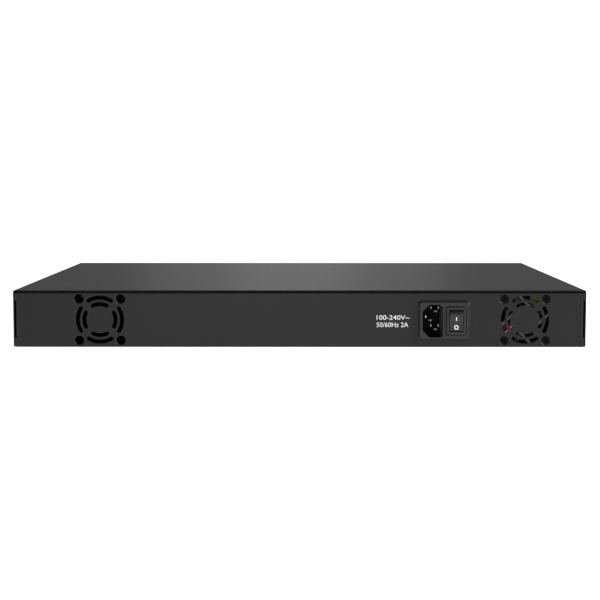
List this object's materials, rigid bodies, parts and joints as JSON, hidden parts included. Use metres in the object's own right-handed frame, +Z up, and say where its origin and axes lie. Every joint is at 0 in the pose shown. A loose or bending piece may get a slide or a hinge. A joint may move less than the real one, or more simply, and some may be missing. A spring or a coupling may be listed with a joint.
{
  "type": "rackmount network switch",
  "caption": "Flat sheet-metal network switch for a rack: sockets on the front, mains inlet with rocker switch, vent grille and exhaust fan on the rear.",
  "frame": {"origin": "centre of the underside, at the height of whatever the switch rests on", "axes": "+X along the width, to the right as seen from the front; +Y from the sockets to the rear wall with the mains inlet; +Z up"},
  "size_m": [0.44, 0.3373, 0.044],
  "materials": {
    "black_powder_coat": "fine matte powder coat",
    "black_moulding": "fine moulded texture",
    "fan_plastic": "satin moulding",
    "black_screw": "black zinc, satin",
    "steel": "bare steel",
    "tin_plate": "tin-plated sheet",
    "aluminium": "extruded, satin",
    "brass": "bare brass",
    "solder_mask_green": "satin solder mask",
    "chip_black": "moulded epoxy",
    "ferrite": "pressed ferrite",
    "yellow_tape": "polyester tape",
    "capacitor_sleeve": "shrink sleeve",
    "magnet": "bonded ferrite",
    "copper_wire": "enamelled copper",
    "clear_plastic": "clear acrylic",
    "nylon": "natural nylon",
    "wire_red": "soft PVC",
    "wire_black": "soft PVC",
    "wire_brown": "soft PVC",
    "wire_blue": "soft PVC",
    "wire_green_yellow": "soft PVC"
  },
  "bodies": {
    "enclosure": {"base_chassis": "black_powder_coat", "front_panel": "black_powder_coat", "top_cover": "black_powder_coat", "cover_screw_left_1": "black_screw", "cover_screw_left_2": "black_screw", "cover_screw_left_3": "black_screw", "cover_screw_right_1": "black_screw", "cover_screw_right_2": "black_screw", "cover_screw_right_3": "black_screw", "fan_frame": "fan_plastic", "fan_stator": "copper_wire", "fan_bearing": "brass", "fan_screw_1": "black_screw", "fan_screw_2": "black_screw", "fan_screw_3": "black_screw", "fan_screw_4": "black_screw", "inlet_housing": "black_moulding", "inlet_pin_live": "tin_plate", "inlet_pin_neutral": "tin_plate", "inlet_pin_earth": "tin_plate", "switch_body": "black_moulding", "switch_terminal_line": "brass", "switch_terminal_load": "brass", "psu_board": "solder_mask_green", "psu_transformer_winding": "yellow_tape", "psu_transformer_core": "ferrite", "psu_bulk_capacitor": "capacitor_sleeve", "psu_output_capacitor": "capacitor_sleeve", "psu_primary_heatsink": "aluminium", "psu_secondary_heatsink": "aluminium", "psu_line_choke": "copper_wire", "psu_ac_terminal": "nylon", "main_board": "solder_mask_green", "jack_block_1": "tin_plate", "jack_block_2": "tin_plate", "jack_block_3": "tin_plate", "sfp_cage_1": "tin_plate", "sfp_cage_2": "tin_plate", "switch_chip": "chip_black", "chip_heatsink": "aluminium", "led_light_guide": "clear_plastic", "reset_switch": "chip_black", "dc_header": "nylon", "main_board_screw_1": "steel", "psu_board_screw_1": "steel", "main_board_screw_2": "steel", "psu_board_screw_2": "steel", "fan_lead_red": "wire_red", "fan_lead_black": "wire_black", "fan_plug": "nylon", "mains_lead_live": "wire_brown", "mains_lead_neutral": "wire_blue", "mains_lead_earth": "wire_green_yellow", "dc_lead_positive": "wire_red", "dc_lead_negative": "wire_black"},
    "fan_wheel": {"fan_rotor": "fan_plastic", "fan_shaft": "steel", "fan_magnet_ring": "magnet"},
    "rocker": {"power_rocker": "black_moulding"},
    "reset_plunger": {"reset_button": "black_moulding"}
  },
  "joints": [
    {"name": "fan_spin", "type": "hinge", "parent": "enclosure", "child": "fan_wheel", "pos_m": [-0.1733, 0.1539, 0.0213], "axis": [0, 1, 0], "continuous": true},
    {"name": "rocker_tilt", "type": "hinge", "parent": "enclosure", "child": "rocker", "pos_m": [-0.1202, 0.1655, 0.0207], "axis": [1, 0, 0], "range_deg": [0, 20]},
    {"name": "reset_press", "type": "slide", "parent": "enclosure", "child": "reset_plunger", "axis": [0, 1, 0], "range_m": [0, 0.0006], "stiffness_N_per_m": 800}
  ]
}
